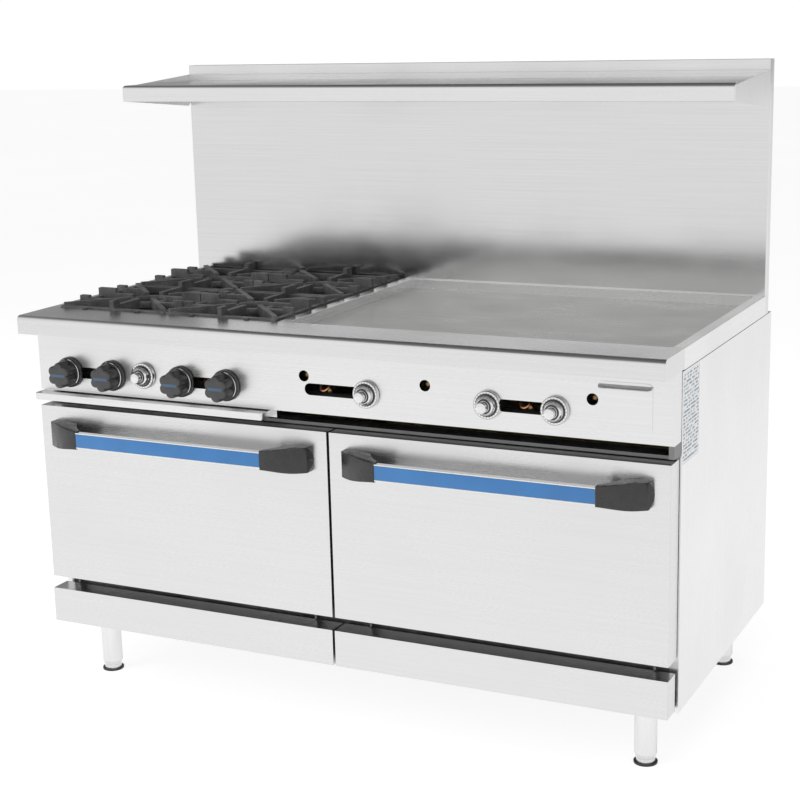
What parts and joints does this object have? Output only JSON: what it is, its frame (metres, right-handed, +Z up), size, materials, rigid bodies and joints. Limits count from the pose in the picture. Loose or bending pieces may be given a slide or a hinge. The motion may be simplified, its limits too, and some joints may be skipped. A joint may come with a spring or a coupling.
{
  "type": "commercial gas range",
  "caption": "Free-standing stainless gas range with open burners, a griddle, ovens behind drop doors, a back riser and a high shelf.",
  "frame": {"origin": "on the floor, under the centre of the bounding box", "axes": "+X to the right of a cook facing the range, front faces -Y, +Z up"},
  "size_m": [1.524, 0.824, 1.43],
  "materials": {
    "stainless": "brushed stainless steel",
    "liner_steel": "dull aluminised sheet",
    "griddle_steel": "ground steel plate",
    "frame_steel": "dark heat-resistant paint",
    "cast_iron": "rough sand-cast iron",
    "pipe_black": "black iron pipe",
    "brass": "machined brass",
    "aluminium": "die-cast",
    "insulation": "mineral wool",
    "black_plastic": "satin black moulding",
    "chrome": "bright chrome plate",
    "foot_metal": "plated die casting"
  },
  "bodies": {
    "range": {"leg_tubes": "stainless", "base_frame": "frame_steel", "rear_panel": "liner_steel", "front_frame": "frame_steel", "control_panel": "stainless", "front_ledge": "stainless", "top_trims": "stainless", "griddle_guards": "stainless", "griddle_plate": "griddle_steel", "griddle_supports": "frame_steel", "grease_trough": "liner_steel", "griddle_burners": "frame_steel", "burner_box": "frame_steel", "open_burners": "cast_iron", "gas_pipes": "pipe_black", "gas_valves": "brass", "oven_thermostats": "aluminium", "drawer_runners": "frame_steel", "oven_liners": "liner_steel", "oven_floors": "liner_steel", "oven_burners": "frame_steel", "oven_insulation": "insulation", "rack_guides": "liner_steel", "hinge_brackets": "frame_steel", "riser_front": "stainless", "riser_rear": "stainless", "high_shelf": "stainless", "shelf_brackets": "stainless", "side_panel_left": "stainless", "kick_plate_left": "stainless", "side_panel_right": "stainless", "kick_plate_right": "stainless"},
    "door_left": {"door_skin_left": "stainless", "door_liner_left": "stainless", "handle_bar_left": "stainless", "handle_ends_left": "black_plastic"},
    "door_right": {"door_skin_right": "stainless", "door_liner_right": "stainless", "handle_bar_right": "stainless", "handle_ends_right": "black_plastic"},
    "burner_knob_1": {"burner_knob_1": "black_plastic"},
    "burner_knob_2": {"burner_knob_2": "black_plastic"},
    "burner_knob_3": {"burner_knob_3": "black_plastic"},
    "burner_knob_4": {"burner_knob_4": "black_plastic"},
    "oven_knob_left": {"oven_knob_left": "chrome"},
    "oven_knob_right": {"oven_knob_right": "chrome"},
    "griddle_knob_left": {"griddle_knob_left": "chrome"},
    "griddle_knob_right": {"griddle_knob_right": "chrome"},
    "grease_drawer": {"grease_drawer": "stainless"},
    "crumb_tray": {"crumb_tray": "stainless"},
    "oven_rack_left": {"oven_rack_left": "chrome"},
    "oven_rack_right": {"oven_rack_right": "chrome"},
    "foot_front_left": {"foot_front_left": "foot_metal"},
    "grate_front_left": {"grate_front_left": "cast_iron"},
    "foot_front_right": {"foot_front_right": "foot_metal"},
    "grate_front_right": {"grate_front_right": "cast_iron"},
    "foot_rear_left": {"foot_rear_left": "foot_metal"},
    "grate_rear_left": {"grate_rear_left": "cast_iron"},
    "foot_rear_right": {"foot_rear_right": "foot_metal"},
    "grate_rear_right": {"grate_rear_right": "cast_iron"}
  },
  "joints": [
    {"name": "door_left_hinge", "type": "hinge", "parent": "range", "child": "door_left", "pos_m": [-0.38035, -0.326, 0.27], "axis": [1, 0, 0], "range_deg": [0, 90], "stiffness_Nm_per_rad": 6, "springref_deg": -28.65},
    {"name": "door_right_hinge", "type": "hinge", "parent": "range", "child": "door_right", "pos_m": [0.38035, -0.326, 0.27], "axis": [1, 0, 0], "range_deg": [0, 90], "stiffness_Nm_per_rad": 6, "springref_deg": -28.65},
    {"name": "burner_knob_1_turn", "type": "hinge", "parent": "range", "child": "burner_knob_1", "pos_m": [-0.674, -0.344, 0.762], "axis": [0, -1, 0], "range_deg": [0, 90]},
    {"name": "burner_knob_2_turn", "type": "hinge", "parent": "range", "child": "burner_knob_2", "pos_m": [-0.557, -0.344, 0.762], "axis": [0, -1, 0], "range_deg": [0, 90]},
    {"name": "burner_knob_3_turn", "type": "hinge", "parent": "range", "child": "burner_knob_3", "pos_m": [-0.371, -0.344, 0.762], "axis": [0, -1, 0], "range_deg": [0, 90]},
    {"name": "burner_knob_4_turn", "type": "hinge", "parent": "range", "child": "burner_knob_4", "pos_m": [-0.254, -0.344, 0.762], "axis": [0, -1, 0], "range_deg": [0, 90]},
    {"name": "oven_knob_left_turn", "type": "hinge", "parent": "range", "child": "oven_knob_left", "pos_m": [-0.469, -0.344, 0.769], "axis": [0, -1, 0], "range_deg": [0, 270]},
    {"name": "oven_knob_right_turn", "type": "hinge", "parent": "range", "child": "oven_knob_right", "pos_m": [0.37, -0.344, 0.769], "axis": [0, -1, 0], "range_deg": [0, 270]},
    {"name": "griddle_knob_left_turn", "type": "hinge", "parent": "range", "child": "griddle_knob_left", "pos_m": [0.093, -0.344, 0.769], "axis": [0, -1, 0], "range_deg": [0, 90]},
    {"name": "griddle_knob_right_turn", "type": "hinge", "parent": "range", "child": "griddle_knob_right", "pos_m": [0.516, -0.344, 0.769], "axis": [0, -1, 0], "range_deg": [0, 90]},
    {"name": "grease_drawer_slide", "type": "slide", "parent": "range", "child": "grease_drawer", "axis": [0, -1, 0], "range_m": [0, 0.36]},
    {"name": "crumb_tray_slide", "type": "slide", "parent": "range", "child": "crumb_tray", "axis": [0, -1, 0], "range_m": [0, 0.55]},
    {"name": "oven_rack_left_slide", "type": "slide", "parent": "range", "child": "oven_rack_left", "axis": [0, -1, 0], "range_m": [0, 0.07]},
    {"name": "oven_rack_right_slide", "type": "slide", "parent": "range", "child": "oven_rack_right", "axis": [0, -1, 0], "range_m": [0, 0.07]},
    {"name": "foot_front_left_screw", "type": "slide", "parent": "range", "child": "foot_front_left", "axis": [0, 0, -1], "range_m": [0, 0.03]},
    {"name": "grate_front_left_lift", "type": "slide", "parent": "range", "child": "grate_front_left", "axis": [0, 0, 1], "range_m": [0, 0.1]},
    {"name": "foot_front_right_screw", "type": "slide", "parent": "range", "child": "foot_front_right", "axis": [0, 0, -1], "range_m": [0, 0.03]},
    {"name": "grate_front_right_lift", "type": "slide", "parent": "range", "child": "grate_front_right", "axis": [0, 0, 1], "range_m": [0, 0.1]},
    {"name": "foot_rear_left_screw", "type": "slide", "parent": "range", "child": "foot_rear_left", "axis": [0, 0, -1], "range_m": [0, 0.03]},
    {"name": "grate_rear_left_lift", "type": "slide", "parent": "range", "child": "grate_rear_left", "axis": [0, 0, 1], "range_m": [0, 0.1]},
    {"name": "foot_rear_right_screw", "type": "slide", "parent": "range", "child": "foot_rear_right", "axis": [0, 0, -1], "range_m": [0, 0.03]},
    {"name": "grate_rear_right_lift", "type": "slide", "parent": "range", "child": "grate_rear_right", "axis": [0, 0, 1], "range_m": [0, 0.1]}
  ]
}
